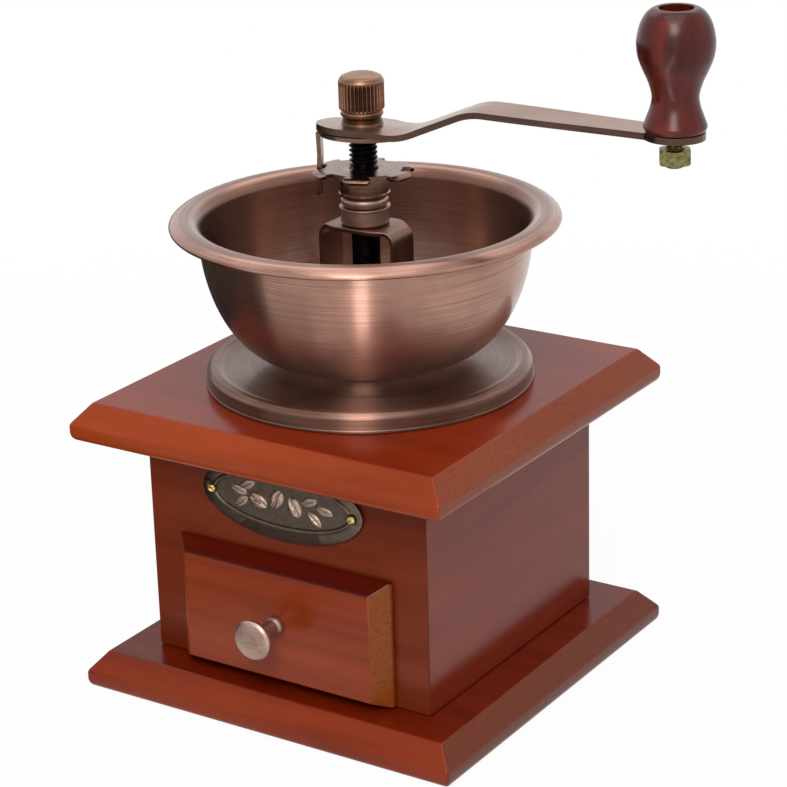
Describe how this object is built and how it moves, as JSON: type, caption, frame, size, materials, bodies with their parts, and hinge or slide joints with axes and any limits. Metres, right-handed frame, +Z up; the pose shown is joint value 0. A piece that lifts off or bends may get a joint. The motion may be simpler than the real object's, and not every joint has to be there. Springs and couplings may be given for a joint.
{
  "type": "manual coffee grinder",
  "caption": "Wooden box mill with a drawer, open metal bowl, conical burrs, star wheel that sets the grind, and a cranked arm with a turned wooden grip",
  "frame": {"origin": "middle of the base board's underside, on the surface that the grinder stands on", "axes": "+Z up along the shaft, -Y towards the drawer's face, +X along the crank arm at rest"},
  "size_m": [0.1702, 0.1264, 0.2057],
  "materials": {
    "lacquered_wood": "red-brown stain under a glossy lacquer",
    "raw_wood": "bare planed softwood",
    "grip_wood": "turned, dark red stain, glossy lacquer",
    "antique_copper": "steel with a brushed antique copper plating",
    "dark_bronze": "pressed brass with a dark bronze patina",
    "black_steel": "steel with a black oxide finish",
    "cast_steel": "hardened casting, as cast with ground teeth",
    "yellow_zinc": "yellow passivated zinc plating",
    "brass": "plain brass pins"
  },
  "bodies": {
    "housing": {"base_board": "lacquered_wood", "top_board": "lacquered_wood", "front_panel": "lacquered_wood", "back_panel": "lacquered_wood", "left_panel": "lacquered_wood", "right_panel": "lacquered_wood", "left_drawer_guide": "raw_wood", "right_drawer_guide": "raw_wood", "mill_cover": "antique_copper", "hopper_bowl": "antique_copper", "bearing_bracket": "antique_copper", "left_bracket_screw": "antique_copper", "right_bracket_screw": "antique_copper", "bearing_bush": "antique_copper", "thrust_collar": "antique_copper", "name_plate": "dark_bronze", "ring_burr": "cast_steel", "lower_bearing_bridge": "cast_steel", "base_screw_1": "yellow_zinc", "base_screw_2": "yellow_zinc", "base_screw_3": "yellow_zinc", "base_screw_4": "yellow_zinc", "mill_screw_1": "yellow_zinc", "mill_screw_2": "yellow_zinc", "mill_screw_3": "yellow_zinc", "front_bridge_screw": "yellow_zinc", "back_bridge_screw": "yellow_zinc", "left_plate_pin": "brass", "right_plate_pin": "brass"},
    "adjuster": {"adjusting_nut": "antique_copper", "adjusting_wheel": "antique_copper"},
    "spindle": {"shaft": "black_steel", "inner_burr": "cast_steel", "burr_nut": "yellow_zinc", "lock_plate": "antique_copper", "crank_arm": "antique_copper", "cap_nut": "antique_copper", "grip_bolt": "yellow_zinc", "grip_nut": "yellow_zinc"},
    "grip": {"grip": "grip_wood"},
    "drawer": {"drawer_front": "lacquered_wood", "drawer_left_side": "raw_wood", "drawer_right_side": "raw_wood", "drawer_back": "raw_wood", "drawer_bottom": "raw_wood", "drawer_knob": "antique_copper", "knob_screw": "yellow_zinc"}
  },
  "joints": [
    {"name": "crank_spin", "type": "hinge", "parent": "housing", "child": "adjuster", "pos_m": [0, 0, 0.145], "axis": [0, 0, 1], "continuous": true},
    {"name": "grind_setting", "type": "slide", "parent": "adjuster", "child": "spindle", "axis": [0, 0, 1], "range_m": [0, 0.0008]},
    {"name": "grip_spin", "type": "hinge", "parent": "spindle", "child": "grip", "pos_m": [0.0975, 0, 0.1735], "axis": [0, 0, 1], "continuous": true},
    {"name": "drawer_slide", "type": "slide", "parent": "housing", "child": "drawer", "axis": [0, -1, 0], "range_m": [0, 0.07]}
  ]
}
